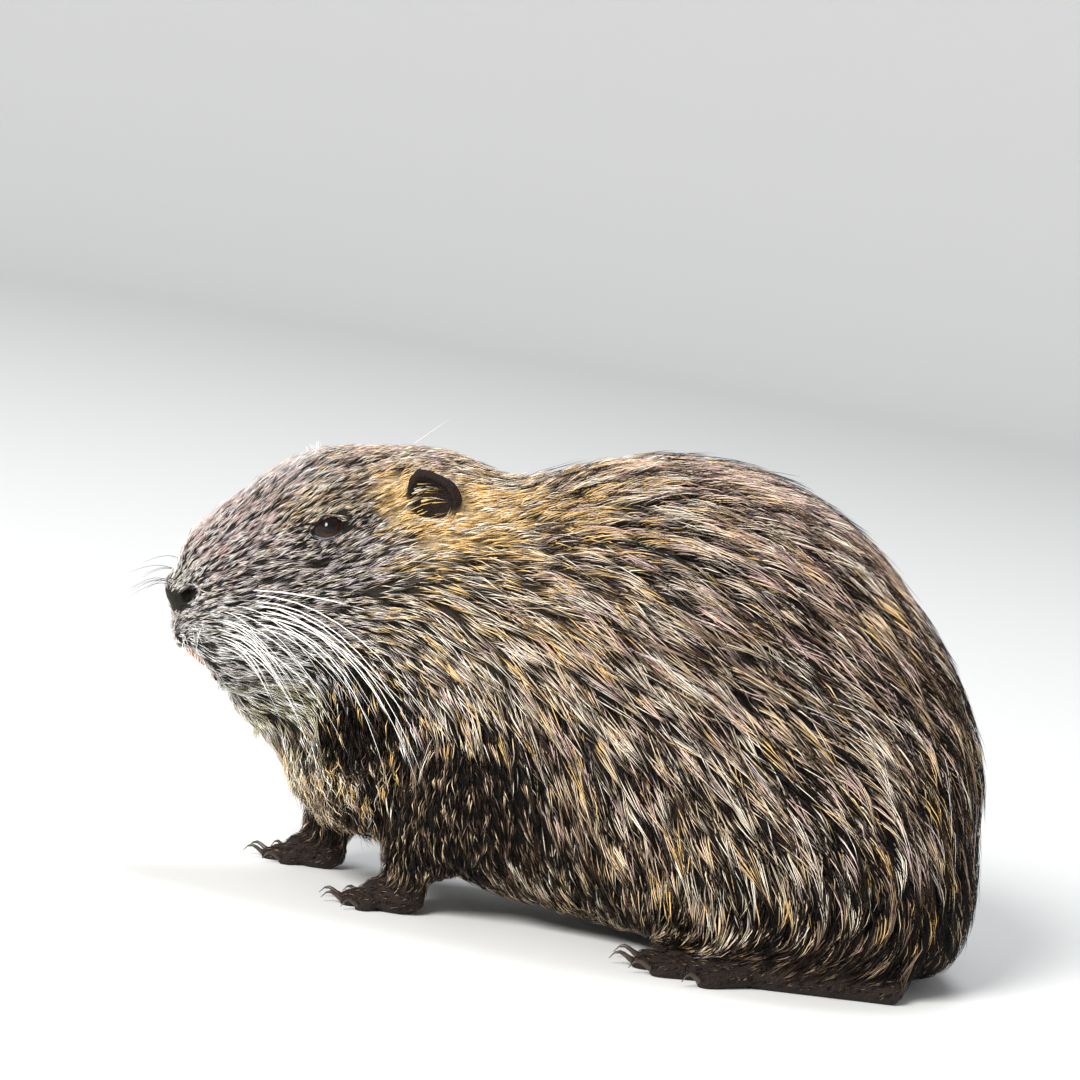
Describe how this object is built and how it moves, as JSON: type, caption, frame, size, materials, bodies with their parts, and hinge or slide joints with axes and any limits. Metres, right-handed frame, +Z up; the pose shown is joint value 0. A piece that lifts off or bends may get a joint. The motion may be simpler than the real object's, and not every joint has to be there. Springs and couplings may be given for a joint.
{
  "type": "coypu figure",
  "caption": "Still life-size figure of a coypu crouched on its feet: blunt deep head, arched back, webbed hind feet, round tail laid beside the body.",
  "frame": {"origin": "on the ground, under the middle of the box round the whole figure", "axes": "the nose points to -X, the animal's left side faces -Y and +Z is up, with the soles on z = 0"},
  "size_m": [0.373, 0.2682, 0.2125],
  "materials": {
    "coat_face": "short dense fur, grizzled grey-brown, white on the muzzle and chin, ochre round the ear",
    "coat": "long wet-looking guard hairs, dark brown over tan and ochre, lying along the body",
    "coat_legs": "short dark brown fur",
    "bare_skin": "bare dark grey-brown skin with fine creases",
    "tail_skin": "small scales in rings with sparse stiff hairs",
    "ear_skin": "thin near-black skin",
    "eye": "wet dark brown with an amber lower iris",
    "enamel": "smooth deep orange enamel",
    "horn": "satin dark horn"
  },
  "bodies": {
    "root": {"head": "coat_face", "neck": "coat", "trunk": "coat", "rump": "coat", "haunch_left": "coat", "foreleg_left": "coat_legs", "forepaw_left": "bare_skin", "hindfoot_left": "bare_skin", "ear_left": "ear_skin", "eye_left": "eye", "haunch_right": "coat", "foreleg_right": "coat_legs", "forepaw_right": "bare_skin", "hindfoot_right": "bare_skin", "ear_right": "ear_skin", "eye_right": "eye", "nose": "bare_skin", "incisors_upper": "enamel", "incisors_lower": "enamel", "tail_1": "tail_skin", "tail_2": "tail_skin", "tail_3": "tail_skin", "tail_4": "tail_skin", "claw_fore_left_1": "horn", "claw_fore_left_2": "horn", "claw_fore_left_3": "horn", "claw_fore_left_4": "horn", "claw_hind_left_1": "horn", "claw_hind_left_2": "horn", "claw_hind_left_3": "horn", "claw_hind_left_4": "horn", "claw_hind_left_5": "horn", "claw_fore_right_1": "horn", "claw_fore_right_2": "horn", "claw_fore_right_3": "horn", "claw_fore_right_4": "horn", "claw_hind_right_1": "horn", "claw_hind_right_2": "horn", "claw_hind_right_3": "horn", "claw_hind_right_4": "horn", "claw_hind_right_5": "horn"}
  },
  "joints": []
}
